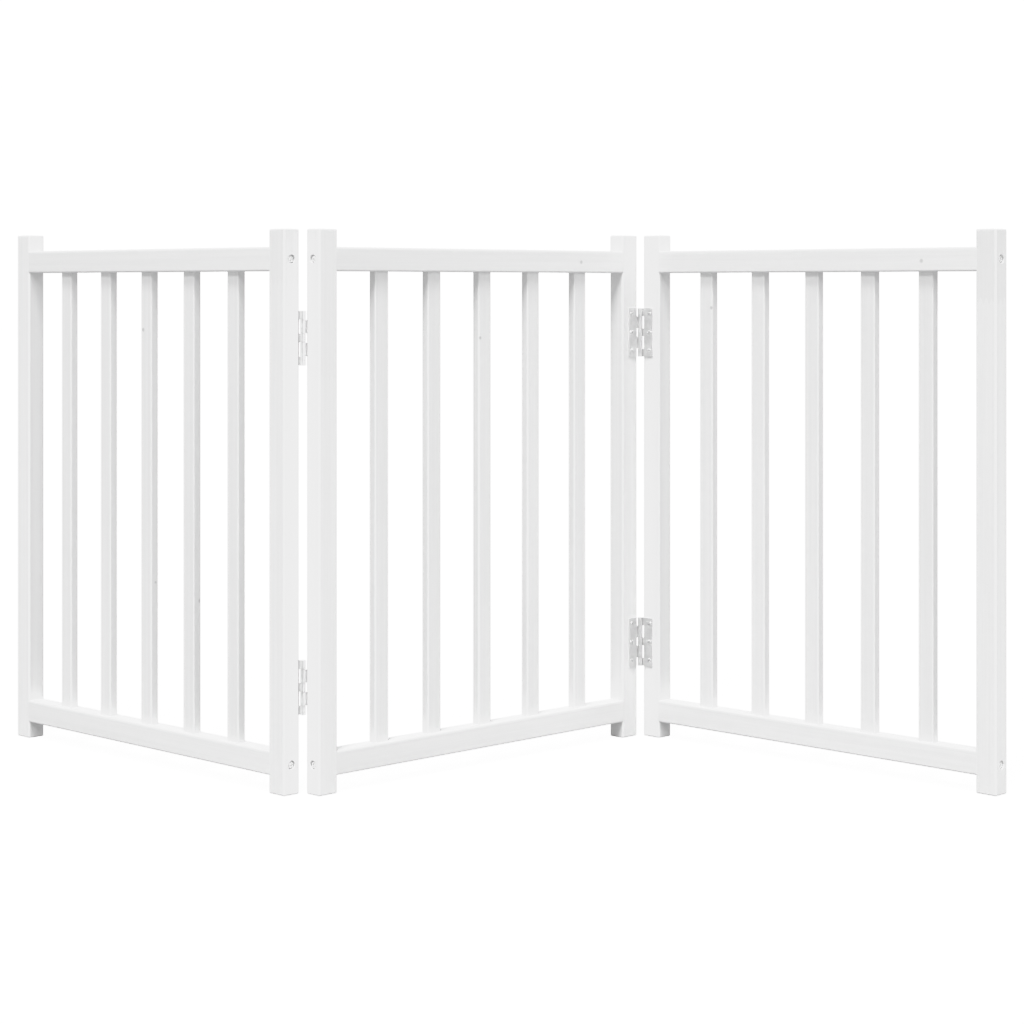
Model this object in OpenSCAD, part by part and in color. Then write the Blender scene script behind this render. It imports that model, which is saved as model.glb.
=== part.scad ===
// Folding pet gate: three slatted wooden panels joined in a zigzag by butt hinges.
// The gate stands on the floor plane z = 0, centred on the middle of the centre panel.
// X runs along the gate from left to right, Y runs from its front to its back, Z is up.

/* [Panels] */
// Width of one panel over its two posts
panel_w = 500; // [400:10:700]
// Height of the gate
panel_h = 600; // [450:10:900]
// Number of slats in each panel
slat_count = 5; // [3:1:7]
// Angle of each panel to the line of the gate, as it stands
stand_angle = 45; // [5:5:80]

/* [Posts and rails] */
// Width of a post, seen from the front
post_face = 25.5; // [22:0.5:36]
// Depth of the posts and rails, front to back
frame_depth = 21; // [18:0.5:32]
// Height of a rail
rail_h = 26; // [20:1:40]
// Length of post beyond each rail
rail_inset = 19; // [10:1:40]
// Radius of the eased long edges of posts and rails
frame_edge = 2; // [0.5:0.5:4]

/* [Slats] */
// Width of a slat, seen from the front
slat_face = 19.5; // [12:0.5:24]
// Depth of a slat, front to back
slat_depth = 10; // [6:1:13]
// Radius of the eased long edges of a slat
slat_edge = 1.5; // [0.5:0.5:2.5]
// Depth of the mortise that each slat end sits in
mortise_depth = 10; // [6:1:14]

/* [Hinges] */
// Height of a hinge
hinge_h = 58; // [52:1:70]
// Distance from an upper hinge's centre to the top of its post
hinge_from_top = 116; // [80:1:150]
// Distance from a lower hinge's centre to the foot of its post
hinge_from_foot = 113; // [80:1:150]
// Distance from the pin's axis to the outer edge of a leaf
leaf_w = 17.5; // [16.5:0.5:20]
// Thickness of a leaf
leaf_t = 1.2; // [1:0.1:1.4]
// Outer radius of the knuckles
knuckle_r = 2.8; // [2.6:0.1:3.4]
// Gap between two posts when their panels lie in line
joint_gap = 5; // [4:0.2:8]

/* [Rail screws] */
// Diameter of the counterbore in the side of a post
counterbore_d = 9; // [8.6:0.2:11]
// Depth of the counterbore
counterbore_depth = 4; // [3.4:0.2:6]
// Length of a rail screw under its head
rail_screw_l = 50; // [40:5:60]

/* [Hidden] */
$fn = 48;
eps = 0.5;

// Heights that the rails and hinges share in every panel
rail_low = [rail_inset, panel_h - rail_inset - rail_h];
rail_mid = [for (z = rail_low) z + rail_h / 2];
hinge_mid = [panel_h - hinge_from_top, hinge_from_foot];
mid_depth = frame_depth / 2;

// Even gaps between the posts and slats
rail_l = panel_w - 2 * post_face;
slat_gap = (rail_l - slat_count * slat_face) / (slat_count + 1);
slat_low = rail_low[0] + rail_h - mortise_depth;
slat_l = rail_low[1] + mortise_depth - slat_low;
mortise_clear = 0.05;

// Hinge axis in a panel's own frame, at its left end and on its rear face
axis_x = -joint_gap / 2;
axis_y = frame_depth + knuckle_r;

// The leaf's sheet is rolled round the pin, tight on the outer leaf and free on the centre one
pin_clear = 0.05;
pin_r = knuckle_r - leaf_t - pin_clear;

// Knuckles, in even steps of the hinge's height: where each one starts and ends
hinge_steps = 12;
hinge_unit = hinge_h / hinge_steps;
outer_knuckles = [[0, 2], [5, 7], [10, 12]];
centre_knuckles = [[2, 5], [7, 10]];
knuckle_clear = 0.1;
plate_start = 4.3;
plate_corner = 1;

// Hinge screws: countersunk, in a row of three down each leaf
leaf_screw_x = 13;
leaf_screw_rows = [-22, 0, 22];
leaf_head_r = 2.9;
leaf_shank_r = 1.4;
leaf_screw_l = 13;
leaf_tip_l = 3;
screw_clear = 0.05;

// Rail screws: round head sunk in the post, shank through it into the rail's end
rail_head_r = 4;
rail_head_h = 2.4;
rail_shank_r = 2;
rail_clear = 0.1;
rail_tip_l = 5;

// Cross recess in a screw head, and the point of a screw as a part of its shank's radius
recess_w = 1;
rail_recess_depth = 1.5;
point_part = 1 / 8;

PANELS = ["left", "centre", "right"];
HINGES = ["left_upper", "left_lower", "right_upper", "right_lower"];
SLATS = [for (i = [1:slat_count]) str("slat_", i)];
PANEL_PARTS = concat(["left_post", "right_post", "top_rail", "bottom_rail", "rail_screws"], SLATS);
HINGE_PARTS = ["outer_leaf", "centre_leaf", "pin", "outer_screws", "centre_screws"];

// ---- Places ----

// Puts a panel's own frame in the gate. In it, x runs along the panel from its left end,
// y from its front face to its rear face, and z up from its feet.
module place_panel(panel) {
    if (panel == "centre")
        centre_frame() children();
    else if (panel == "right")
        side_frame() children();
    else
        rotate([0, 0, 180]) side_frame() translate([panel_w, frame_depth, 0])
            rotate([0, 0, 180]) children();
}

// The centre panel turns about the gate's own centre
module centre_frame() {
    rotate([0, 0, stand_angle]) translate([-panel_w / 2, -mid_depth, 0]) children();
}

// The right panel turns the other way about the right hinges' axis, which lies in front
module side_frame() {
    centre_frame() translate([panel_w - axis_x, -knuckle_r, 0]) rotate([0, 0, -2 * stand_angle])
        translate([-axis_x, knuckle_r, 0]) children();
}

// Mirrors a piece made for the left end of a panel to its right end
module at_end(end) {
    if (end == "right")
        translate([panel_w, 0, 0]) mirror([1, 0, 0]) children();
    else
        children();
}

// Mirrors a piece made for the rear face of a panel to its front face
module on_face(face) {
    if (face == "front")
        translate([0, frame_depth, 0]) mirror([0, 1, 0]) children();
    else
        children();
}

// The left hinges are on the rear faces and the right hinges on the front faces
function hinge_face(side) = side == "left" ? "rear" : "front";
// A side panel's hinges are at its inner end, the centre panel's at both ends
function has_hinge(panel, end) = panel == "centre" || panel != end;
// The joint at an end of a panel: a side panel has only its own joint
function joint_side(panel, end) = panel == "centre" ? end : panel;

// Puts a leaf or pin on a panel: origin on the pin's axis at mid-height, x along the leaf,
// and the post's face at y = -knuckle_r
module place_hinge(panel, end, level) {
    place_panel(panel) at_end(end) on_face(hinge_face(joint_side(panel, end)))
        translate([axis_x, axis_y, hinge_mid[level]]) children();
}

// ---- Shared shapes ----

// Rectangle with round corners, from the origin
module rounded_rect(w, h, r) {
    translate([r, 0]) square([w - 2 * r, h]);
    translate([0, r]) square([w, h - 2 * r]);
    for (x = [r, w - r], y = [r, h - r])
        translate([x, y]) circle(r);
}

// Stick along z with four eased edges
module stick(w, d, l, r) {
    linear_extrude(l) rounded_rect(w, d, r);
}

// Cross recess of a screw head, cut downwards from z = 0
module cross_recess(span, depth) {
    for (a = [0, 90])
        rotate([0, 0, a]) translate([-span / 2, -recess_w / 2, -depth])
            cube([span, recess_w, depth + eps]);
}

// Shank that points along -z from z = 0 and ends in a cone
module shank(r, l, tip) {
    translate([0, 0, tip - l]) cylinder(r = r, h = l - tip);
    translate([0, 0, -l]) cylinder(r1 = r * point_part, r2 = r, h = tip);
}

// ---- Wooden pieces, in the panel's own frame ----

// Left post, with its screw holes; hinge_on is the face that carries hinges, or "none"
module post(hinge_on) {
    color("white") difference() {
        stick(post_face, frame_depth, panel_h, frame_edge);
        for (z = rail_mid)
            translate([0, mid_depth, z]) rotate([0, 90, 0]) {
                translate([0, 0, -eps]) cylinder(d = counterbore_d, h = counterbore_depth + eps);
                cylinder(r = rail_shank_r + rail_clear, h = post_face + eps);
            }
        if (hinge_on != "none")
            on_face(hinge_on)
                for (z = hinge_mid)
                    translate([axis_x + leaf_screw_x, frame_depth, z]) leaf_pilot_holes();
    }
}

// Holes for one leaf's screws, bored from a face at y = 0 towards -y
module leaf_pilot_holes() {
    for (row = leaf_screw_rows)
        translate([0, eps, row]) rotate([90, 0, 0])
            cylinder(r = leaf_shank_r + screw_clear, h = leaf_screw_l + eps);
}

// Rail with a pilot hole in each end. Level 0 is the bottom rail, with mortises in its top
// face, and level 1 is the top rail, with mortises in its underside.
module rail(level) {
    low = rail_low[level];
    mortise_low = level == 0 ? low + rail_h - mortise_depth : low - eps;
    color("white") difference() {
        translate([post_face, 0, low]) rotate([90, 0, 90])
            linear_extrude(rail_l) rounded_rect(frame_depth, rail_h, frame_edge);
        for (i = [1:slat_count])
            translate([slat_x(i) - mortise_clear, slat_y - mortise_clear, mortise_low])
                stick(slat_face + 2 * mortise_clear, slat_depth + 2 * mortise_clear,
                    mortise_depth + eps, slat_edge);
        for (end = ["left", "right"])
            at_end(end) translate([post_face - eps, mid_depth, rail_mid[level]]) rotate([0, 90, 0])
                cylinder(r = rail_shank_r + screw_clear, h = rail_hole_l + eps);
    }
}

// How far a rail screw reaches into the rail, with a little room past its tip
rail_hole_l = counterbore_depth + rail_screw_l - post_face + 1;
// Place of a slat's corner along the panel and across its depth
function slat_x(i) = post_face + slat_gap + (i - 1) * (slat_face + slat_gap);
slat_y = mid_depth - slat_depth / 2;

module slat(i) {
    color("white") translate([slat_x(i), slat_y, slat_low])
        stick(slat_face, slat_depth, slat_l, slat_edge);
}

// The four screws that hold a panel's rails between its posts
module rail_screws() {
    for (end = ["left", "right"], z = rail_mid)
        at_end(end) translate([counterbore_depth, mid_depth, z]) rotate([0, -90, 0]) rail_screw();
}

// Rail screw along z, with its head above z = 0
module rail_screw() {
    color("silver") difference() {
        union() {
            cylinder(r = rail_head_r, h = rail_head_h);
            shank(rail_shank_r, rail_screw_l, rail_tip_l);
        }
        translate([0, 0, rail_head_h]) cross_recess(rail_head_r, rail_recess_depth);
    }
}

// ---- Hinge pieces, about the pin's axis ----

// Leaf with the knuckles at the given heights, bored for the pin
module leaf(knuckles, bore_r) {
    color("lightgray") difference() {
        union() {
            leaf_plate();
            for (knuckle = knuckles) {
                low_clear = knuckle[0] == 0 ? 0 : knuckle_clear;
                high_clear = knuckle[1] == hinge_steps ? 0 : knuckle_clear;
                low = knuckle[0] * hinge_unit - hinge_h / 2 + low_clear;
                high = knuckle[1] * hinge_unit - hinge_h / 2 - high_clear;
                translate([0, 0, low]) cylinder(r = knuckle_r, h = high - low);
                translate([0, -knuckle_r, low]) cube([plate_start + plate_corner, leaf_t, high - low]);
            }
        }
        cylinder(r = bore_r, h = hinge_h + 2 * eps, center = true);
        for (row = leaf_screw_rows)
            translate([leaf_screw_x, leaf_t - knuckle_r, row]) rotate([-90, 0, 0])
                leaf_countersink();
    }
}

// Flat plate that lies on the post's face, with round corners at its outer edge
module leaf_plate() {
    plate_w = leaf_w - plate_start;
    translate([plate_start, leaf_t - knuckle_r, -hinge_h / 2]) rotate([90, 0, 0])
        linear_extrude(leaf_t) union() {
            rounded_rect(plate_w, hinge_h, plate_corner);
            square([plate_w / 2, hinge_h]);
        }
}

// Conical screw hole through a leaf, down from z = 0
module leaf_countersink() {
    translate([0, 0, -leaf_t])
        cylinder(r1 = leaf_shank_r + screw_clear, r2 = leaf_head_r + screw_clear, h = leaf_t);
}

// The pin is held in the outer leaf's knuckles and turns in the centre leaf's
module pin() {
    color("gray") cylinder(r = pin_r, h = hinge_h, center = true);
}

module leaf_screws() {
    for (row = leaf_screw_rows)
        translate([leaf_screw_x, leaf_t - knuckle_r, row]) rotate([-90, 0, 0]) leaf_screw();
}

// Countersunk screw along z, with its flat head flush at z = 0
module leaf_screw() {
    color("silver") difference() {
        union() {
            translate([0, 0, -leaf_t]) cylinder(r1 = leaf_shank_r, r2 = leaf_head_r, h = leaf_t);
            translate([0, 0, -leaf_t]) shank(leaf_shank_r, leaf_screw_l, leaf_tip_l);
        }
        cross_recess(leaf_head_r, leaf_t);
    }
}

// ---- The gate ----

for (panel = PANELS) {
    place_panel(panel)
            post(has_hinge(panel, "left") ? hinge_face(joint_side(panel, "left")) : "none");
    place_panel(panel) at_end("right")
            post(has_hinge(panel, "right") ? hinge_face(joint_side(panel, "right")) : "none");
    place_panel(panel) rail(0);
    place_panel(panel) rail(1);
    place_panel(panel) rail_screws();
    for (i = [1:slat_count])
        place_panel(panel) slat(i);
}

for (side = ["left", "right"], level = [0, 1]) {
    hinge = str(side, level == 0 ? "_upper" : "_lower", "_hinge_");
    inner_end = side == "left" ? "right" : "left";
    place_hinge(side, inner_end, level) leaf(outer_knuckles, pin_r);
    place_hinge("centre", side, level) leaf(centre_knuckles, pin_r + pin_clear);
    place_hinge(side, inner_end, level) pin();
    place_hinge(side, inner_end, level) leaf_screws();
    place_hinge("centre", side, level) leaf_screws();
}
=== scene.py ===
import math
import random

import bmesh
import bpy
from mathutils import Matrix, Vector


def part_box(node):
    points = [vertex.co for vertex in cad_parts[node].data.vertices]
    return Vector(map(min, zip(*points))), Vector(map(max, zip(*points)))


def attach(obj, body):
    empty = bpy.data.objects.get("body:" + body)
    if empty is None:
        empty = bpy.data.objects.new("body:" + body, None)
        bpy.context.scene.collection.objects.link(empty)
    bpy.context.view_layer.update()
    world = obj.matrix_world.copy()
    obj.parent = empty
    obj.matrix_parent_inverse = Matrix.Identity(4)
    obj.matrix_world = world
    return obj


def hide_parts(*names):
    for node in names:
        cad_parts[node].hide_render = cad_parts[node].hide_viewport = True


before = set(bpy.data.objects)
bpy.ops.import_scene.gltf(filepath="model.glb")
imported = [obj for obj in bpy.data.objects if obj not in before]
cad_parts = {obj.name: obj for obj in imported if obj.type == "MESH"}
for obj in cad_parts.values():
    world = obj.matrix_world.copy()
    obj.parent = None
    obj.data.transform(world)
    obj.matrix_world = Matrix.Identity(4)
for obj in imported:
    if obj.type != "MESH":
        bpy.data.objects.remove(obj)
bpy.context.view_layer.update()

# A folding pet gate of three slatted panels in white painted wood, on steel butt hinges.
# Lengths are in metres. Every piece takes its place from the CAD node that it stands for.

MM = 0.001
UP = Vector((0, 0, 1))
PANELS = ("left", "centre", "right")
SIDES = ("left", "right")
LEVELS = ("upper", "lower")

# Wooden sticks: radii of the eased long edges and of the ends
FRAME_EDGE = 2.05 * MM
SLAT_EDGE = 1.5 * MM
POST_END = 1.6 * MM
CUT_END = 0.25 * MM
# How far the long edges' radius shrinks where an end rounds inwards, as a share of the rounding
EDGE_TAPER = 0.75
MORTISE_CLEAR = 0.05 * MM
# How far the rails' ends are scribed over the eased edges of the posts
RAIL_COPE = 1.45 * MM

# Rail screws and the stepped holes that they sit in
BORE_R = 4.5 * MM
BORE_DEPTH = 4.0 * MM
BORE_RIM = 0.4 * MM
RAIL_HOLE_R = 2.1 * MM
RAIL_PILOT_R = 2.05 * MM
RAIL_PILOT_DEPTH = 30 * MM
RAIL_HEAD_R = 4.2 * MM
RAIL_HEAD_H = 3.4 * MM
RAIL_SHANK_R = 2.0 * MM
RAIL_SCREW_L = 50 * MM
RAIL_TIP = 5 * MM
# Cross recess: span, width of an arm, depth
RAIL_RECESS = (4.4 * MM, 1.1 * MM, 1.5 * MM)
# The head's rim as a share of its height, and the power that fills out its dome
RAIL_RIM = 0.3
RAIL_DOME = 0.75

# Hinges: pressed sheet rolled round a pin, with raised countersunk screws
SHEET_T = 1.2 * MM
PLATE_START = 4.3 * MM
KNUCKLE_CLEAR = 0.1 * MM
# Each leaf's knuckles from the bottom up, in twelfths of its height
KNUCKLE_UNITS = 12
KNUCKLES = {"outer": ((0, 2), (5, 7), (10, 12)), "centre": ((2, 5), (7, 10))}
ROLL_DEG = 300
ROLL_STEPS = 40
LEAF_CORNER_R = 0.9 * MM
PRESS_EDGE = 0.16 * MM
PRESS_DEG = 50
LEAF_SCREW_X = 13 * MM
LEAF_SCREW_PITCH = 22 * MM
LEAF_HEAD_R = 2.9 * MM
LEAF_HEAD_CLEAR = 0.05 * MM
LEAF_DOME = 0.7 * MM
LEAF_SHANK_R = 1.4 * MM
LEAF_PILOT_R = 1.45 * MM
LEAF_SCREW_L = 13 * MM
LEAF_TIP = 3 * MM
LEAF_ROWS = (-1, 0, 1)
LEAF_RECESS = (2.8 * MM, 0.6 * MM, 1.2 * MM)
# The head's edge under its dome: how far it narrows, and how deep it is
LEAF_EDGE = (0.07 * MM, 0.2 * MM)
# A pin's domed end: share of its radius, and millimetres from the end
PIN_END = ((0, 0), (0.6, 0.06), (0.9, 0.25), (1, 0.6))

# Any screw: pitch and root of its thread and blunt end of its tip, as shares of the shank's
# radius, and where that end lies, as a share of the tip's length
THREAD_PITCH = 0.9
THREAD_ROOT = 0.74
TIP_R = 0.55
TIP_NECK = 0.4
DOME_STEPS = 8
# A recess's cutter: how far it stands above the head, as a share of its depth, and its scale at
# the top and the bottom
RECESS_OVER = 0.4
RECESS_TOP = 1.12
RECESS_BOTTOM = 0.55

# Cutters stand this far out of the face that they cut. Points closer than MERGE are one point.
OVER = 1 * MM
MERGE = 0.01 * MM
# Where the middle of an eased rim lies, as a share of its size, and the length of a drill's
# point, as a share of its radius
RIM_MIDDLE = 0.3
DRILL_POINT = 0.6

# Paint: its colour, and how far each mark under it makes it lighter or darker; the eased edges also
# get painted shade
PAINT = (0.845, 0.845, 0.845)
BAND_TONE = 0.008
FIBRE_DARKER = 0.01
SEAM_DARKER = 0.012
KNOT_DARKER = 0.19
# Painted shade on the eased edges, which darkens them so that they show no bright lines of light
EDGE_SHADE_DARKER = 0.04
# A knot is darkest out to this share of its radius
KNOT_CORE = 0.3
PAINT_ROUGH = (0.50, 0.64)
KNOT_SMOOTHER = 0.08
PAINT_IOR = 1.48

# Sizes across and along a stick of its fibres, bands of growth and brush strokes
FIBRE_SIZE = (1.1 * MM, 45 * MM)
BAND_SIZE = (6 * MM, 350 * MM)
BRUSH_SIZE = (2.4 * MM, 160 * MM)
# Relief of each mark, as a share of the bump's distance, then the bump's strength and distance
FIBRE_RELIEF = 0.35
BAND_RELIEF = 1.0
BRUSH_RELIEF = 0.5
SEAM_RELIEF = -0.5
KNOT_RELIEF = -0.4
PAINT_BUMP = (0.5, 0.08 * MM)

# Finger joints: pitch across the stick, slope of the fingers, and how soft the seam looks
FINGER_PITCH = 7 * MM
FINGER_SLOPE = 2.4
FINGER_BLUR = 0.4 * MM

# Steel: width of its brushing, scales of its clouds and specks, how far they change its tone
# and roughness, then the bump's strength and distance
STEEL_GRAIN = 0.3 * MM
CLOUD_SCALE = 160.0
SPECK_SCALE = 2600.0
CLOUD_TONE = 0.03
GRAIN_TONE = 0.015
SPECK_DARKER = 0.05
CLOUD_ROUGH = (-0.05, 0.06)
STEEL_BUMP = (0.25, 0.02 * MM)

# Parts of a noise's range that a smooth step is spread over
NOISE_MIDDLE = (0.3, 0.7)
FIBRE_SPAN = (0.35, 0.75)
BRUSH_SPAN = (0.25, 0.75)
SPECK_SPAN = (0.62, 0.8)

# Shading: edges sharper than this stay crisp, and how strongly wide faces set the normals
SHARP_DEG = 38
NORMAL_WEIGHT = 80


# ---- Places, all worked out from the frame ----

def node_centre(node):
    low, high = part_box(node)
    return (low + high) / 2


def local_box(node, place):
    """Lowest and highest corner of a CAD node in the axes of place."""
    to_local = place.inverted()
    points = [to_local @ v.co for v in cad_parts[node].data.vertices]
    low = Vector([min(p[i] for p in points) for i in range(3)])
    high = Vector([max(p[i] for p in points) for i in range(3)])
    return low, high


def axes_matrix(origin, x, y, z):
    """Matrix that takes local x, y and z to these directions, from this origin."""
    columns = Matrix((x, y, z)).transposed()
    return Matrix.Translation(origin) @ columns.to_4x4()


def panel_place(panel):
    """A panel's own axes: x along it from its left end, y from its front to its rear, z up."""
    left = node_centre(f"{panel}_panel_left_post")
    right = node_centre(f"{panel}_panel_right_post")
    along = (right - left).normalized()
    back = UP.cross(along)
    middle = axes_matrix(Vector((left.x, left.y, 0)), along, back, UP)
    low, _ = local_box(f"{panel}_panel_left_post", middle)
    return middle @ Matrix.Translation(low)


# ---- Mesh building ----

def section(width, depth, radius, steps):
    """Outline of a rounded rectangle about the origin, anticlockwise."""
    points = []
    for quarter, (sx, sy) in enumerate(((1, 1), (-1, 1), (-1, -1), (1, -1))):
        for step in range(steps + 1):
            angle = math.radians(90 * (quarter + step / steps))
            points.append((sx * (width / 2 - radius) + radius * math.cos(angle),
                           sy * (depth / 2 - radius) + radius * math.sin(angle)))
    return points


def add_stick(bm, size, edge, end, place, steps=6):
    """A stick along z from z = 0. edge is the radius of its long edges, and end of its ends."""
    width, depth, length = size
    half = []
    for step in range(steps, -1, -1):
        angle = math.radians(90 * step / steps)
        half.append((end * (1 - math.sin(angle)), end * (1 - math.cos(angle))))
    levels = half + [(length - z, inset) for z, inset in reversed(half)]
    rings = []
    for z, inset in levels:
        outline = section(width - 2 * inset, depth - 2 * inset, edge - inset * EDGE_TAPER, steps)
        rings.append([bm.verts.new(place @ Vector((x, y, z))) for x, y in outline])
    for lower, upper in zip(rings, rings[1:]):
        for i in range(len(lower)):
            j = (i + 1) % len(lower)
            bm.faces.new((lower[i], lower[j], upper[j], upper[i]))
    bm.faces.new(reversed(rings[0]))
    bm.faces.new(rings[-1])


def add_lathe(bm, profile, place, segments=40):
    """The profile's (radius, height) points turned about z. It starts and ends on the axis."""
    rings = []
    for radius, height in profile:
        if radius == 0:
            rings.append([bm.verts.new(place @ Vector((0, 0, height)))] * segments)
            continue
        ring = []
        for i in range(segments):
            angle = 2 * math.pi * i / segments
            point = Vector((radius * math.cos(angle), radius * math.sin(angle), height))
            ring.append(bm.verts.new(place @ point))
        rings.append(ring)
    for lower, upper in zip(rings, rings[1:]):
        for i in range(segments):
            j = (i + 1) % segments
            corners = [lower[i], lower[j], upper[j], upper[i]]
            corners = [v for k, v in enumerate(corners) if v not in corners[:k]]
            bm.faces.new(corners)


def add_cross(bm, span, width, depth, place):
    """Cutter for a cross recess: a plus sign that narrows from above z = 0 to z = -depth."""
    rings = []
    for z, scale in ((RECESS_OVER * depth, RECESS_TOP), (-depth, RECESS_BOTTOM)):
        s, w = span / 2 * scale, width / 2 * scale
        arm = ((s, -w), (s, w), (w, w))
        outline = []
        for quarter in range(4):
            turn = Matrix.Rotation(math.pi / 2 * quarter, 2)
            outline += [turn @ Vector(p) for p in arm]
        rings.append([bm.verts.new(place @ Vector((p.x, p.y, z))) for p in outline])
    top, bottom = rings
    for i in range(len(top)):
        j = (i + 1) % len(top)
        bm.faces.new((bottom[i], bottom[j], top[j], top[i]))
    bm.faces.new(reversed(bottom))
    bm.faces.new(top)


def to_mesh(bm, name):
    bmesh.ops.recalc_face_normals(bm, faces=bm.faces)
    mesh = bpy.data.meshes.new(name)
    bm.to_mesh(mesh)
    bm.free()
    return mesh


def new_object(name, mesh):
    obj = bpy.data.objects.new(name, mesh)
    bpy.context.scene.collection.objects.link(obj)
    return obj


def apply_modifiers(obj):
    """Gives obj the mesh that its modifiers make, and drops them."""
    graph = bpy.context.evaluated_depsgraph_get()
    mesh = bpy.data.meshes.new_from_object(obj.evaluated_get(graph), depsgraph=graph)
    obj.modifiers.clear()
    old = obj.data
    obj.data = mesh
    bpy.data.meshes.remove(old)


def cut_away(obj, cutter_bm):
    """Cuts the cutter's shapes out of obj."""
    cutter = new_object("cutter", to_mesh(cutter_bm, "cutter"))
    modifier = obj.modifiers.new("cut", "BOOLEAN")
    modifier.object = cutter
    modifier.operation = "DIFFERENCE"
    modifier.solver = "EXACT"
    apply_modifiers(obj)
    mesh = cutter.data
    bpy.data.objects.remove(cutter)
    bpy.data.meshes.remove(mesh)


def smooth_shade(obj):
    """Smooth shading that keeps flat faces flat and corners crisp."""
    mesh = obj.data
    mesh.shade_smooth()
    mesh.set_sharp_from_angle(angle=math.radians(SHARP_DEG))
    modifier = obj.modifiers.new("normals", "WEIGHTED_NORMAL")
    modifier.keep_sharp = True
    modifier.weight = NORMAL_WEIGHT
    apply_modifiers(obj)


def stand_in(obj, node, body, material):
    """Shades obj, paints it, and lets it stand for a CAD node on its body."""
    smooth_shade(obj)
    obj.data.name = obj.name
    obj.data.materials.clear()
    obj.data.materials.append(material)
    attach(obj, body)
    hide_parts(node)


# ---- Materials ----

class Nodes:
    """Short calls for building a node tree."""

    def __init__(self, tree):
        self.tree = tree

    def add(self, kind, **settings):
        node = self.tree.nodes.new(kind)
        for key, value in settings.items():
            setattr(node, key, value)
        return node

    def link(self, out_socket, in_socket):
        self.tree.links.new(out_socket, in_socket)

    def put(self, value, in_socket):
        """Links a socket, or sets a plain value."""
        if isinstance(value, bpy.types.NodeSocket):
            self.link(value, in_socket)
        else:
            in_socket.default_value = value

    def math(self, operation, a, b=0.0):
        node = self.add("ShaderNodeMath", operation=operation)
        self.put(a, node.inputs[0])
        self.put(b, node.inputs[1])
        return node.outputs[0]

    def ramp(self, value, low, high, to_low=0.0, to_high=1.0):
        """Smooth step of value between low and high."""
        node = self.add("ShaderNodeMapRange", interpolation_type="SMOOTHSTEP")
        self.put(value, node.inputs["Value"])
        self.put(low, node.inputs["From Min"])
        self.put(high, node.inputs["From Max"])
        node.inputs["To Min"].default_value = to_low
        node.inputs["To Max"].default_value = to_high
        return node.outputs["Result"]

    def scaled(self, vector, scale):
        node = self.add("ShaderNodeVectorMath", operation="MULTIPLY")
        self.put(vector, node.inputs[0])
        node.inputs[1].default_value = scale
        return node.outputs[0]

    def noise(self, vector, scale, detail=2.0, roughness=0.5, distortion=0.0):
        node = self.add("ShaderNodeTexNoise")
        self.put(vector, node.inputs["Vector"])
        node.inputs["Scale"].default_value = scale
        node.inputs["Detail"].default_value = detail
        node.inputs["Roughness"].default_value = roughness
        node.inputs["Distortion"].default_value = distortion
        return node.outputs[0]

    def streaks(self, vector, across, along, **settings):
        """Noise whose features are this size across and along z."""
        return self.noise(self.scaled(vector, (1 / across, 1 / across, 1 / along)), 1.0, **settings)

    def plus(self, value, mark, amount):
        """value with amount times mark added."""
        return self.math("ADD", value, self.math("MULTIPLY", mark, amount))

    def tint(self, tone, base, socket):
        """Links the base colour, made lighter or darker by tone, to a socket."""
        mixed = self.add("ShaderNodeCombineColor")
        for channel, value in enumerate(base):
            self.link(self.math("ADD", tone, value), mixed.inputs[channel])
        self.link(mixed.outputs[0], socket)

    def bump(self, height, strength, distance, shader):
        node = self.add("ShaderNodeBump")
        node.inputs["Strength"].default_value = strength
        node.inputs["Distance"].default_value = distance
        self.link(height, node.inputs["Height"])
        self.link(node.outputs["Normal"], shader.inputs["Normal"])


def new_material(name):
    material = bpy.data.materials.new(name)
    material.use_nodes = True
    tree = Nodes(material.node_tree)
    shader = material.node_tree.nodes["Principled BSDF"]
    return material, tree, shader


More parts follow.
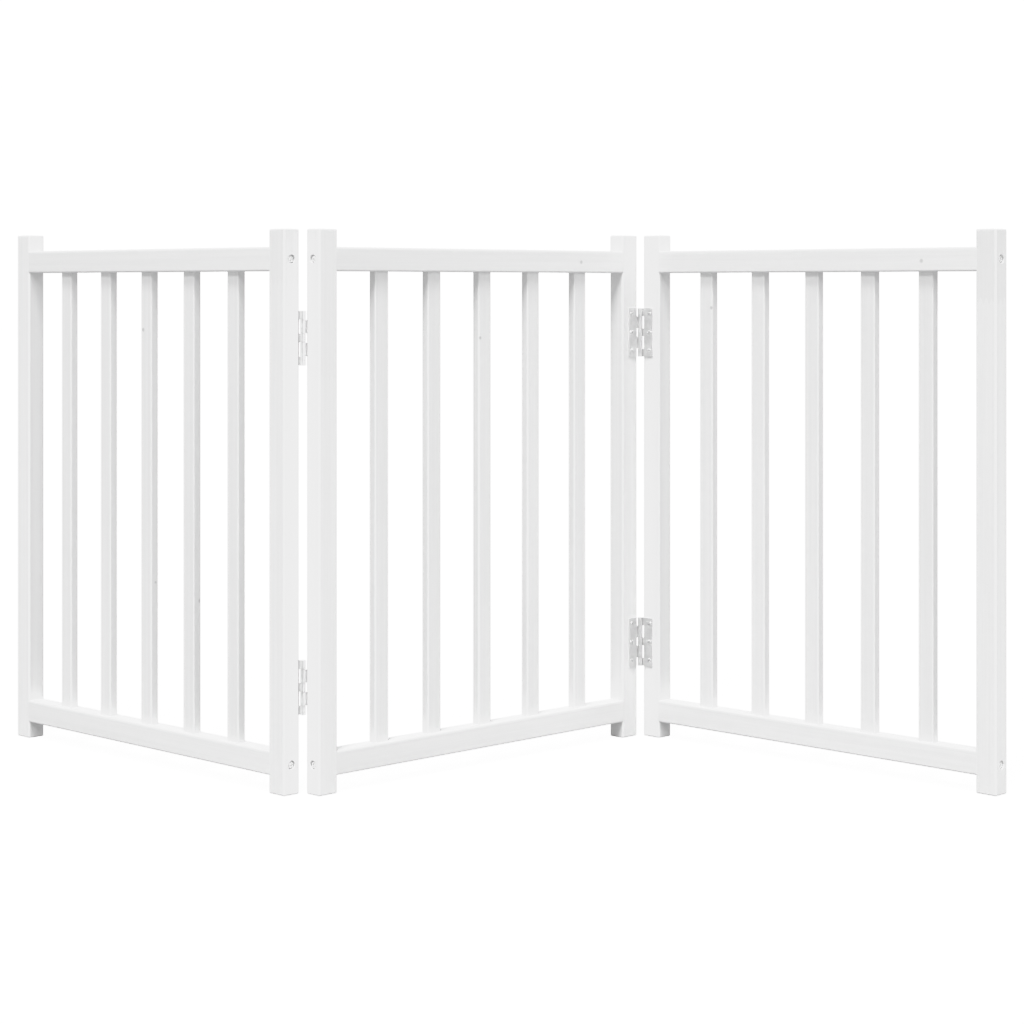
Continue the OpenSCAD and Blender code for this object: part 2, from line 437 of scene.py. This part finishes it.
def painted_wood(knots):
    """Opaque white satin paint over fine softwood, in the stick's own coordinates: x and y
    across it, z along its grain. The grain, joints of the stock and knots just show through, and
    the eased edges are darkened with painted shade."""
    material, n, shader = new_material("painted_wood")
    wood = n.add("ShaderNodeAttribute", attribute_name="wood").outputs["Vector"]
    split = n.add("ShaderNodeSeparateXYZ")
    n.link(wood, split.inputs[0])
    across, depth, along = split.outputs

    # Fine fibres, the broader bands of early and late wood, and brush strokes
    fibre = n.streaks(wood, *FIBRE_SIZE, detail=3.0, roughness=0.6)
    band = n.streaks(wood, *BAND_SIZE, distortion=0.6)
    brush = n.streaks(wood, *BRUSH_SIZE, detail=1.0, roughness=0.4)

    # Two lengths of stock finger-jointed end to end, one a touch lighter than the other
    stock = n.add("ShaderNodeSeparateXYZ")
    n.link(n.add("ShaderNodeAttribute", attribute_name="stock").outputs["Vector"], stock.inputs[0])
    joint, below, above = stock.outputs
    zigzag = n.math("PINGPONG", n.math("ADD", across, depth), FINGER_PITCH / 2)
    past = n.math("SUBTRACT", n.math("ADD", along, n.math("MULTIPLY", zigzag, FINGER_SLOPE)), joint)
    upper = n.ramp(past, -FINGER_BLUR, FINGER_BLUR)
    seam_line = n.ramp(n.math("ABSOLUTE", past), FINGER_BLUR, 0.0)
    stock_tone = n.math("ADD", below, n.math("MULTIPLY", upper, n.math("SUBTRACT", above, below)))

    # Knots: soft round marks where a branch was
    knot = None
    for centre, radius in knots:
        offset = n.add("ShaderNodeVectorMath", operation="SUBTRACT")
        n.link(wood, offset.inputs[0])
        offset.inputs[1].default_value = centre
        length = n.add("ShaderNodeVectorMath", operation="LENGTH")
        n.link(offset.outputs[0], length.inputs[0])
        mark = n.ramp(length.outputs["Value"], radius, radius * KNOT_CORE)
        knot = mark if knot is None else n.math("MAXIMUM", knot, mark)

    # Painted shade on the eased edges: darker the further round an edge a point lies
    edge = n.add("ShaderNodeAttribute", attribute_name="edge").outputs["Fac"]
    tone = n.math("ADD", n.ramp(band, *NOISE_MIDDLE, -BAND_TONE, BAND_TONE),
                  n.ramp(fibre, *FIBRE_SPAN, 0.0, -FIBRE_DARKER))
    tone = n.math("ADD", tone, stock_tone)
    for mark, darker in ((seam_line, SEAM_DARKER), (knot, KNOT_DARKER), (edge, EDGE_SHADE_DARKER)):
        tone = n.plus(tone, mark, -darker)
    n.tint(tone, PAINT, shader.inputs["Base Color"])

    rough = n.ramp(brush, *BRUSH_SPAN, *PAINT_ROUGH)
    n.link(n.plus(rough, knot, -KNOT_SMOOTHER), shader.inputs["Roughness"])
    shader.inputs["IOR"].default_value = PAINT_IOR

    height = n.math("MULTIPLY", fibre, FIBRE_RELIEF)
    for mark, relief in ((band, BAND_RELIEF), (brush, BRUSH_RELIEF), (seam_line, SEAM_RELIEF),
                         (knot, KNOT_RELIEF)):
        height = n.plus(height, mark, relief)
    n.bump(height, *PAINT_BUMP, shader)
    return material


def plated_steel(name, colour, roughness, brushed, metallic=1.0):
    """Zinc-plated steel: fine brushing, a faint cloudiness, and duller specks. brushed is how many
    times longer the brushing is than wide. A low metallic value makes it a white coating."""
    material, n, shader = new_material(name)
    point = n.add("ShaderNodeTexCoord").outputs["Object"]
    grain = n.streaks(point, STEEL_GRAIN, STEEL_GRAIN * brushed)
    cloud = n.noise(point, CLOUD_SCALE, detail=3.0, roughness=0.6)
    speck = n.noise(point, SPECK_SCALE, roughness=0.6)
    tone = n.math("ADD", n.ramp(cloud, *NOISE_MIDDLE, -CLOUD_TONE, CLOUD_TONE),
                  n.ramp(grain, *NOISE_MIDDLE, -GRAIN_TONE, GRAIN_TONE))
    tone = n.math("SUBTRACT", tone, n.ramp(speck, *SPECK_SPAN, 0.0, SPECK_DARKER))
    n.tint(tone, colour, shader.inputs["Base Color"])
    shader.inputs["Metallic"].default_value = metallic
    rough = n.math("ADD", n.ramp(cloud, *NOISE_MIDDLE, *CLOUD_ROUGH), roughness)
    n.link(rough, shader.inputs["Roughness"])
    n.bump(n.math("ADD", grain, speck), *STEEL_BUMP, shader)
    return material


# ---- Wood ----

# Sticks whose two lengths of stock differ more than most: the joint's height in millimetres, and
# the paint's tone below and above it
STOCKS = {
    "right_panel_right_post": (528, 0.0, -0.026),
    "left_panel_right_post": (548, 0.0, -0.016),
}
# For other sticks, the most that a tone is, and where along it the joint may be
STOCK_TONE = 0.006
STOCK_SPAN = (0.2, 0.8)
# How far the grain is shifted across, into and along a stick
GRAIN_SHIFTS = ((1, 9), (1, 9), (0, 1))

# Knots that show through the paint: node, place, radius, in millimetres. The place is across and
# into an upright from its middle, then the height, or along, into and up a rail from its middle.
KNOTS = (
    ("left_panel_slat_3", -5.4, -5, 490, 3.1),
    ("left_panel_slat_4", 9.6, 3.6, 191, 3.2),
    ("left_panel_slat_3", 9, 1, 205, 2.2),
    ("centre_panel_top_rail", 152.5, -10, -0.5, 3.1),
    ("centre_panel_slat_3", -7.4, -5, 481, 2.6),
    ("right_panel_slat_1", 8.2, -5, 514, 2.8),
    ("right_panel_top_rail", 154.5, -10, -1.3, 3.2),
    ("centre_panel_slat_2", 3, 5, 332, 2.8),
    ("right_panel_slat_4", -5, 5, 250, 3.0),
    ("left_panel_right_post", 4, 10, 395, 3.4),
    ("right_panel_left_post", -12, 2, 300, 3.2),
    ("right_panel_bottom_rail", -80, 10, 0, 3.0),
    ("centre_panel_slat_5", 4, 5, 96, 2.2),
)


def grain_shift(node):
    """Added to a stick's own coordinates, so that no two sticks show the same grain."""
    rng = random.Random(node)
    return Vector([rng.uniform(*span) for span in GRAIN_SHIFTS])


def stock_facts(node, length):
    """Place of a stick's finger joint along it, and the paint's tone below and above it."""
    if node in STOCKS:
        height, below, above = STOCKS[node]
        return height * MM, below, above
    rng = random.Random(f"{node} stock")
    places = [share * length for share in STOCK_SPAN]
    tones = (-STOCK_TONE, STOCK_TONE)
    return tuple(rng.uniform(*span) for span in (places, tones, tones))


def edge_shade_share(point, size, edge):
    """How far a point is round an eased edge: 0 on a face, 1 halfway from one face to the next.
    It sets how much painted shade the point gets.
    """
    offsets = (abs(point.x), abs(point.y), abs(point.z - size[2] / 2))
    x, y, z = (min(max((offset - length / 2 + edge) / edge, 0), 1)
               for offset, length in zip(offsets, size))
    return min(2 * max(x * y, y * z, z * x), 1)


def store(obj, name, kind, values):
    """Adds a point attribute to obj and fills it from a flat list."""
    layer = obj.data.attributes.new(name, kind, "POINT")
    layer.data.foreach_set("value" if kind == "FLOAT" else "vector", values)


def mark_grain(obj, node, place, size, edge):
    """Stores each vertex's place in the grain, its stick's stock and how far round an eased edge it
    lies, for the paint and its painted edge shade.
    """
    shift = grain_shift(node)
    joint, below, above = stock_facts(node, size[2])
    to_local = place.inverted()
    points = [to_local @ vertex.co for vertex in obj.data.vertices]
    grained = [component for point in points for component in point + shift]
    store(obj, "wood", "FLOAT_VECTOR", grained)
    store(obj, "stock", "FLOAT_VECTOR", [joint + shift.z, below, above] * len(points))
    store(obj, "edge", "FLOAT", [edge_shade_share(point, size, edge) for point in points])


def stick_place(node, panel_axes, upright):
    """Axes and size of a stick: x and y across it from its middle, z along it from its end."""
    low, high = local_box(node, panel_axes)
    size = high - low
    middle = (low + high) / 2
    if upright:
        start = Vector((middle.x, middle.y, low.z))
        return panel_axes @ Matrix.Translation(start), (size.x, size.y, size.z)
    start = Vector((low.x, middle.y, middle.z))
    turn = axes_matrix(start, Vector((0, 1, 0)), Vector((0, 0, 1)), Vector((1, 0, 0)))
    return panel_axes @ turn, (size.y, size.z, size.x)


def hole(radius, depth):
    """Profile of a plain round cutter from just outside a face, down to depth inside it."""
    return ((0, OVER), (radius, OVER), (radius, -depth), (0, -depth - radius * DRILL_POINT))


def post_bore(post_width):
    """Profile of the stepped screw hole through a post, with an eased rim."""
    rim = BORE_RIM * RIM_MIDDLE
    bottom = -post_width - OVER
    return ((0, OVER), (BORE_R + BORE_RIM + OVER, OVER), (BORE_R + BORE_RIM, 0),
            (BORE_R + rim, -rim), (BORE_R, -BORE_RIM), (BORE_R, -BORE_DEPTH),
            (RAIL_HOLE_R, -BORE_DEPTH), (RAIL_HOLE_R, bottom), (0, bottom))


def into(direction, point):
    """Axes at a point on a face, with z pointing out of the face."""
    side = UP.cross(direction)
    return axes_matrix(point, side, direction.cross(side), direction)


def make_post(panel, end, panel_axes, rails, material):
    node = f"{panel}_panel_{end}_post"
    place, size = stick_place(node, panel_axes, upright=True)
    bm = bmesh.new()
    add_stick(bm, size, FRAME_EDGE, POST_END, place)
    post = new_object(f"{node}_wood", to_mesh(bm, node))
    sign = -1 if end == "left" else 1
    out = panel_axes.to_3x3() @ Vector((sign, 0, 0))
    centre = node_centre(node)
    cutter = bmesh.new()
    for rail in rails:
        height = node_centre(rail).z
        point = Vector((centre.x, centre.y, height)) + out * size[0] / 2
        add_lathe(cutter, post_bore(size[0]), into(out, point))
    for leaf in leaves_on(panel, end):
        for point in leaf["screws"]:
            inward = point - leaf["outward"] * SHEET_T
            turn = into(leaf["outward"], inward)
            add_lathe(cutter, hole(LEAF_PILOT_R, LEAF_SCREW_L), turn, segments=20)
    cut_away(post, cutter)
    mark_grain(post, node, place, size, FRAME_EDGE)
    stand_in(post, node, f"{panel}_panel", material)


def make_rail(panel, name, panel_axes, material):
    node = f"{panel}_panel_{name}"
    place, size = stick_place(node, panel_axes, upright=False)
    bm = bmesh.new()
    width, depth, length = size
    longer = (width, depth, length + 2 * RAIL_COPE)
    add_stick(bm, longer, FRAME_EDGE, CUT_END, place @ Matrix.Translation((0, 0, -RAIL_COPE)))
    rail = new_object(f"{node}_wood", to_mesh(bm, node))
    cutter = bmesh.new()
    for end in SIDES:
        post_axes, post_size = stick_place(f"{panel}_panel_{end}_post", panel_axes, upright=True)
        add_stick(cutter, post_size, FRAME_EDGE, POST_END, post_axes)
    for slat in SLATS:
        slat_axes, slat_size = stick_place(f"{panel}_panel_{slat}", panel_axes, upright=True)
        width, depth, length = slat_size
        pocket = (width + 2 * MORTISE_CLEAR, depth + 2 * MORTISE_CLEAR, length)
        add_stick(cutter, pocket, SLAT_EDGE, CUT_END, slat_axes)
    for sign in (-1, 1):
        out = panel_axes.to_3x3() @ Vector((sign, 0, 0))
        point = node_centre(node) + out * size[2] / 2
        add_lathe(cutter, hole(RAIL_PILOT_R, RAIL_PILOT_DEPTH), into(out, point), segments=24)
    cut_away(rail, cutter)
    mark_grain(rail, node, place, longer, FRAME_EDGE)
    stand_in(rail, node, f"{panel}_panel", material)


def make_slat(panel, name, panel_axes, material):
    node = f"{panel}_panel_{name}"
    place, size = stick_place(node, panel_axes, upright=True)
    bm = bmesh.new()
    add_stick(bm, size, SLAT_EDGE, CUT_END, place)
    slat = new_object(f"{node}_wood", to_mesh(bm, node))
    mark_grain(slat, node, place, size, SLAT_EDGE)
    stand_in(slat, node, f"{panel}_panel", material)


# ---- Screws ----

def screw_mesh(head, shank_r, length, tip, recess):
    """A screw along z with its head's profile above z = 0, threaded shank and cross recess."""
    profile = list(head)
    pitch = shank_r * THREAD_PITCH
    z = -pitch
    while z > -length + tip:
        profile += [(shank_r, z), (shank_r * THREAD_ROOT, z - pitch / 2)]
        z -= pitch
    profile += [(shank_r * TIP_R, -length + tip * TIP_NECK), (0, -length)]
    bm = bmesh.new()
    add_lathe(bm, profile, Matrix.Identity(4), segments=32)
    screw = new_object("screw", to_mesh(bm, "screw"))
    top = max(height for _, height in head)
    cutter = bmesh.new()
    add_cross(cutter, *recess, Matrix.Translation((0, 0, top)))
    cut_away(screw, cutter)
    mesh = screw.data
    bpy.data.objects.remove(screw)
    return mesh


def rail_screw_mesh():
    """Round head that stands on z = 0."""
    head = [(0, RAIL_HEAD_H)]
    for step in range(1, DOME_STEPS + 1):
        angle = math.radians(90 * step / DOME_STEPS)
        head.append((RAIL_HEAD_R * math.sin(angle) ** RAIL_DOME,
                     RAIL_HEAD_H * (RAIL_RIM + (1 - RAIL_RIM) * math.cos(angle))))
    chamfer = 0.1 * MM
    head += [(RAIL_HEAD_R, chamfer), (RAIL_HEAD_R - chamfer, 0), (RAIL_SHANK_R, 0)]
    return screw_mesh(head, RAIL_SHANK_R, RAIL_SCREW_L, RAIL_TIP, RAIL_RECESS)


def leaf_screw_mesh():
    """Raised head that is domed above z = 0 and whose cone goes down through the leaf."""
    rim = LEAF_HEAD_R - LEAF_HEAD_CLEAR
    head = [(0, LEAF_DOME)]
    for step in range(1, DOME_STEPS + 1):
        angle = math.radians(90 * step / DOME_STEPS)
        head.append((rim * math.sin(angle), LEAF_DOME * math.cos(angle)))
    narrower, depth = LEAF_EDGE
    head += [(rim - narrower, -depth), (LEAF_SHANK_R, -SHEET_T)]
    return screw_mesh(head, LEAF_SHANK_R, LEAF_SCREW_L + SHEET_T, LEAF_TIP, LEAF_RECESS)


def make_screws(node, body, mesh, places, material):
    """A group of like screws, each turned a little differently in its hole."""
    rng = random.Random(node)
    bm = bmesh.new()
    for place in places:
        one = bmesh.new()
        one.from_mesh(mesh)
        one.transform(place @ Matrix.Rotation(rng.uniform(0, math.pi / 2), 4, "Z"))
        part = bpy.data.meshes.new("part")
        one.to_mesh(part)
        one.free()
        bm.from_mesh(part)
        bpy.data.meshes.remove(part)
    screws = new_object(f"{node}_steel", to_mesh(bm, node))
    stand_in(screws, node, body, material)


def make_rail_screws(panel, panel_axes, rails, mesh, material):
    places = []
    for end, sign in (("left", -1), ("right", 1)):
        low, high = local_box(f"{panel}_panel_{end}_post", panel_axes)
        out = panel_axes.to_3x3() @ Vector((sign, 0, 0))
        for rail in rails:
            rail_low, rail_high = local_box(rail, panel_axes)
            x = low.x + BORE_DEPTH if sign < 0 else high.x - BORE_DEPTH
            seat = Vector((x, (low.y + high.y) / 2, (rail_low.z + rail_high.z) / 2))
            places.append(into(out, panel_axes @ seat))
    make_screws(f"{panel}_panel_rail_screws", f"{panel}_panel", mesh, places, material)


# ---- Hinges ----

def leaf_facts(side, level, part):
    """Where a leaf is: its axes, its size and its screws. x runs from the pin's axis along the
    leaf, y out of the post's face and z along the pin."""
    panel = side if part == "outer" else "centre"
    end = side if part == "centre" else next(s for s in SIDES if s != side)
    hinge = f"{side}_{level}_hinge"
    node = f"{hinge}_{part}_leaf"
    along = panel_axes_of[panel].to_3x3() @ Vector((1 if end == "left" else -1, 0, 0))
    back = panel_axes_of[panel].to_3x3() @ Vector((0, 1, 0))
    outward = back if side == "left" else -back
    axis = node_centre(f"{hinge}_pin")
    place = axes_matrix(axis, along, outward, along.cross(outward))
    low, high = local_box(node, place)
    surface = low.y + SHEET_T
    screws = [place @ Vector((LEAF_SCREW_X, surface, row * LEAF_SCREW_PITCH)) for row in LEAF_ROWS]
    return {"node": node, "panel": panel, "end": end, "place": place, "outward": outward,
            "part": part, "knuckle_r": -low.y, "width": high.x, "height": high.z - low.z,
            "screws": screws}


def leaves_on(panel, end):
    return [leaf for leaf in leaves if leaf["panel"] == panel and leaf["end"] == end]


def roll_point(s, knuckle_r):
    """A point of the sheet's middle at distance s past the pin's axis: first flat, then rolled."""
    radius = knuckle_r - SHEET_T / 2
    if s <= 0:
        return Vector((-s, -radius, 0))
    angle = s / radius
    return Vector((-radius * math.sin(angle), -radius * math.cos(angle), 0))


def add_strip(bm, corners_s, z_low, z_high):
    """Flat strip of sheet in (s, z), with a column of quads for each step of s."""
    columns = [[bm.verts.new((s, z, 0)) for z in (z_low, z_high)] for s in corners_s]
    for left, right in zip(columns, columns[1:]):
        bm.faces.new((left[0], right[0], right[1], left[1]))


def make_leaf(leaf, material):
    """Pressed leaf: a plate with rounded corners, tabs rolled round the pin, screw holes."""
    radius = leaf["knuckle_r"] - SHEET_T / 2
    roll_length = radius * math.radians(ROLL_DEG)
    unit = leaf["height"] / KNUCKLE_UNITS
    bottom = -leaf["height"] / 2
    bands = []
    for start, stop in KNUCKLES[leaf["part"]]:
        low = bottom + start * unit + (0 if start == 0 else KNUCKLE_CLEAR)
        high = bottom + stop * unit - (0 if stop == KNUCKLE_UNITS else KNUCKLE_CLEAR)
        bands.append((low, high))
    edges = sorted({bottom, -bottom, *[z for band in bands for z in band]})
    bm = bmesh.new()
    rolled = [roll_length * (i + 1) / ROLL_STEPS for i in range(ROLL_STEPS)]
    for low, high in zip(edges, edges[1:]):
        add_strip(bm, [-leaf["width"], -PLATE_START], low, high)
    for low, high in bands:
        add_strip(bm, [-PLATE_START, 0] + rolled, low, high)
    bmesh.ops.remove_doubles(bm, verts=bm.verts, dist=MERGE)
    round_corners(bm, leaf["width"], roll_length)
    for vertex in bm.verts:
        s, z, _ = vertex.co
        point = roll_point(s, leaf["knuckle_r"])
        vertex.co = Vector((point.x, point.y, z))
    obj = new_object(f"{leaf['node']}_steel", to_mesh(bm, leaf["node"]))
    solid = obj.modifiers.new("sheet", "SOLIDIFY")
    solid.thickness = SHEET_T
    solid.offset = 0
    solid.use_even_offset = True
    apply_modifiers(obj)
    cutter = bmesh.new()
    surface = -leaf["knuckle_r"] + SHEET_T
    for row in LEAF_ROWS:
        centre = Vector((LEAF_SCREW_X, surface, row * LEAF_SCREW_PITCH))
        turn = axes_matrix(centre, Vector((1, 0, 0)), Vector((0, 0, -1)), Vector((0, 1, 0)))
        add_lathe(cutter, countersink(), turn, segments=32)
    cut_away(obj, cutter)
    bevel = obj.modifiers.new("press", "BEVEL")
    bevel.width = PRESS_EDGE
    bevel.segments = 2
    bevel.limit_method = "ANGLE"
    bevel.angle_limit = math.radians(PRESS_DEG)
    apply_modifiers(obj)
    obj.data.transform(leaf["place"])
    stand_in(obj, leaf["node"], f"{leaf['panel']}_panel", material)


def round_corners(bm, width, roll_length):
    """Rounds the plate's outer corners, its notches and the ends of its tabs, while flat."""
    corners = [v for v in bm.verts if v.is_boundary and len(v.link_edges) == 2
               and (abs(v.co.x + width) < MERGE or abs(v.co.x - roll_length) < MERGE)]
    bmesh.ops.bevel(bm, geom=corners, offset=LEAF_CORNER_R, segments=5, profile=0.5,
                    affect="VERTICES")


def countersink():
    """Profile of a leaf's screw hole from above its surface to below its back."""
    wall = LEAF_HEAD_R - LEAF_SHANK_R
    over = 0.2 * MM
    slope = wall / SHEET_T
    return ((0, over), (LEAF_HEAD_R + slope * over, over),
            (LEAF_SHANK_R - slope * over, -SHEET_T - over), (0, -SHEET_T - over))


def make_pin(node, body, material):
    """Plain pin with slightly domed ends, flush with the outer knuckles."""
    low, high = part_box(node)
    radius, half = (high.x - low.x) / 2, (high.z - low.z) / 2
    profile = [(radius * share, -half + height * MM) for share, height in PIN_END]
    profile += [(r, -h) for r, h in reversed(profile)]
    bm = bmesh.new()
    add_lathe(bm, profile, Matrix.Translation((low + high) / 2), segments=32)
    pin = new_object(f"{node}_steel", to_mesh(bm, node))
    stand_in(pin, node, body, material)


# ---- Build the gate ----

RAILS = ("top_rail", "bottom_rail")
SLATS = sorted(name.removeprefix("left_panel_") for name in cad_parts
               if name.startswith("left_panel_slat_"))
panel_axes_of = {panel: panel_place(panel) for panel in PANELS}
leaves = [leaf_facts(side, level, part) for side in SIDES for level in LEVELS for part in KNUCKLES]


def knot_centres():
    """The knots' places in the grain."""
    placed = []
    for node, a, b, height, radius in KNOTS:
        panel = node.split("_")[0]
        upright = not node.endswith("rail")
        _, size = stick_place(node, panel_axes_of[panel], upright)
        if upright:
            point = Vector((a, b, height)) * MM
            low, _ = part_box(node)
            point.z -= low.z
        else:
            point = Vector((b, height, a)) * MM
            point.z += size[2] / 2
        placed.append((point + grain_shift(node), radius * MM))
    return placed


def build_gate():
    wood = painted_wood(knot_centres())
    hinge_steel = plated_steel("hinge_steel", (0.90, 0.90, 0.90), roughness=0.45, brushed=30)
    pin_steel = plated_steel("pin_steel", (0.78, 0.78, 0.79), roughness=0.38, brushed=4)
    screw_steel = plated_steel("screw_steel", (0.95, 0.95, 0.95), roughness=0.30, brushed=2)
    coated_steel = plated_steel("coated_steel", (0.93, 0.93, 0.93), roughness=0.38, brushed=2,
                                metallic=0.25)
    rail_screw = rail_screw_mesh()
    leaf_screw = leaf_screw_mesh()
    for panel in PANELS:
        axes = panel_axes_of[panel]
        rails = [f"{panel}_panel_{name}" for name in RAILS]
        for end in SIDES:
            make_post(panel, end, axes, rails, wood)
        for name in RAILS:
            make_rail(panel, name, axes, wood)
        for name in SLATS:
            make_slat(panel, name, axes, wood)
        make_rail_screws(panel, axes, rails, rail_screw, coated_steel)
    for leaf in leaves:
        make_leaf(leaf, hinge_steel)
        screws = leaf["node"].replace("_leaf", "_screws")
        places = [into(leaf["outward"], point) for point in leaf["screws"]]
        make_screws(screws, f"{leaf['panel']}_panel", leaf_screw, places, screw_steel)
    for side in SIDES:
        for level in LEVELS:
            make_pin(f"{side}_{level}_hinge_pin", f"{side}_panel", pin_steel)


# ---- Floor, light and camera ----

# The floor: its size, its gap under the posts, how much light it throws back, and the shade and
# glow that the camera sees it with
FLOOR_RADIUS = 30
FLOOR_GAP = 0.2 * MM
FLOOR_ALBEDO = 0.45
FLOOR_SHADE = 0.1
FLOOR_GLOW = 1.49
# The studio's brightness, as light and as the camera sees it
STUDIO_LIGHT = 0.470
STUDIO_SEEN = 1.62

# Film response: straight up to the knee, then a slow shoulder that reaches white
KNEE = 0.84
WHITE = 1.6

# Studio lamps: name, degrees round to the right of the front, degrees up, strength, softness
LAMPS = (
    ("key", -20, 45, 1.14, 12),
    ("overhead", -10, 70, 1.66, 12),
    ("front_left", -50, 12, 0.17, 28),
    ("front_right", 49, 11, 0.475, 22),
    ("fill_right", 30, 35, 0.28, 20),
    ("rear", 180, 15, 0.60, 40),
)

# Camera: its place, lens and shift, which frame the gate as the photograph does
CAMERA_PLACE = (0.0357, -2.7645, 0.5373)
CAMERA_SENSOR = 36.0
CAMERA_LENS = 85.9
CAMERA_SHIFT = (-0.0014, -0.2188)


def make_floor():
    """Pale floor, which glows for the camera alone, so that it looks clean and white."""
    bm = bmesh.new()
    bmesh.ops.create_circle(bm, cap_ends=True, segments=96, radius=FLOOR_RADIUS)
    floor = new_object("floor", to_mesh(bm, "floor"))
    floor.location.z = -FLOOR_GAP
    material, n, shader = new_material("floor")
    shader.inputs["Roughness"].default_value = 1.0
    shader.inputs["Specular IOR Level"].default_value = 0.0
    shader.inputs["Emission Color"].default_value = (1, 1, 1, 1)
    seen = n.add("ShaderNodeLightPath").outputs["Is Camera Ray"]
    n.link(n.ramp(seen, 0.0, 1.0, FLOOR_ALBEDO, FLOOR_SHADE), shader.inputs["Base Color"])
    n.link(n.ramp(seen, 0.0, 1.0, 0.0, FLOOR_GLOW), shader.inputs["Emission Strength"])
    floor.data.materials.append(material)


def make_world():
    """Even studio light, with clean white behind the gate."""
    world = bpy.data.worlds.new("studio")
    world.use_nodes = True
    n = Nodes(world.node_tree)
    back = world.node_tree.nodes["Background"]
    back.inputs["Color"].default_value = (1, 1, 1, 1)
    seen = n.add("ShaderNodeLightPath").outputs["Is Camera Ray"]
    n.link(n.ramp(seen, 0.0, 1.0, STUDIO_LIGHT, STUDIO_SEEN), back.inputs["Strength"])
    bpy.context.scene.world = world


def make_lights():
    for name, turn, rise, strength, softness in LAMPS:
        lamp = bpy.data.lights.new(name, "SUN")
        lamp.energy = strength
        lamp.angle = math.radians(softness)
        obj = bpy.data.objects.new(name, lamp)
        obj.rotation_euler = (math.radians(90 - rise), 0, math.radians(turn))
        bpy.context.scene.collection.objects.link(obj)


def make_camera():
    """A level view camera, a little below the gate's top, that looks straight back."""
    data = bpy.data.cameras.new("camera")
    data.sensor_width = CAMERA_SENSOR
    data.lens = CAMERA_LENS
    data.shift_x, data.shift_y = CAMERA_SHIFT
    camera = bpy.data.objects.new("camera", data)
    camera.location = CAMERA_PLACE
    camera.rotation_euler = (math.radians(90), 0, 0)
    bpy.context.scene.collection.objects.link(camera)
    bpy.context.scene.camera = camera


def make_film():
    """Plain colours, with a shoulder that keeps the brightest paint just short of white."""
    view = bpy.context.scene.view_settings
    view.view_transform = "Standard"
    view.use_curve_mapping = True
    view.curve_mapping.white_level = (WHITE, WHITE, WHITE)
    # The last curve is the one for all three channels
    curve = view.curve_mapping.curves[-1]
    curve.points.new(KNEE / WHITE, KNEE)
    for point in curve.points:
        point.handle_type = "VECTOR"
    view.curve_mapping.update()


build_gate()
make_floor()
make_world()
make_lights()
make_camera()
make_film()
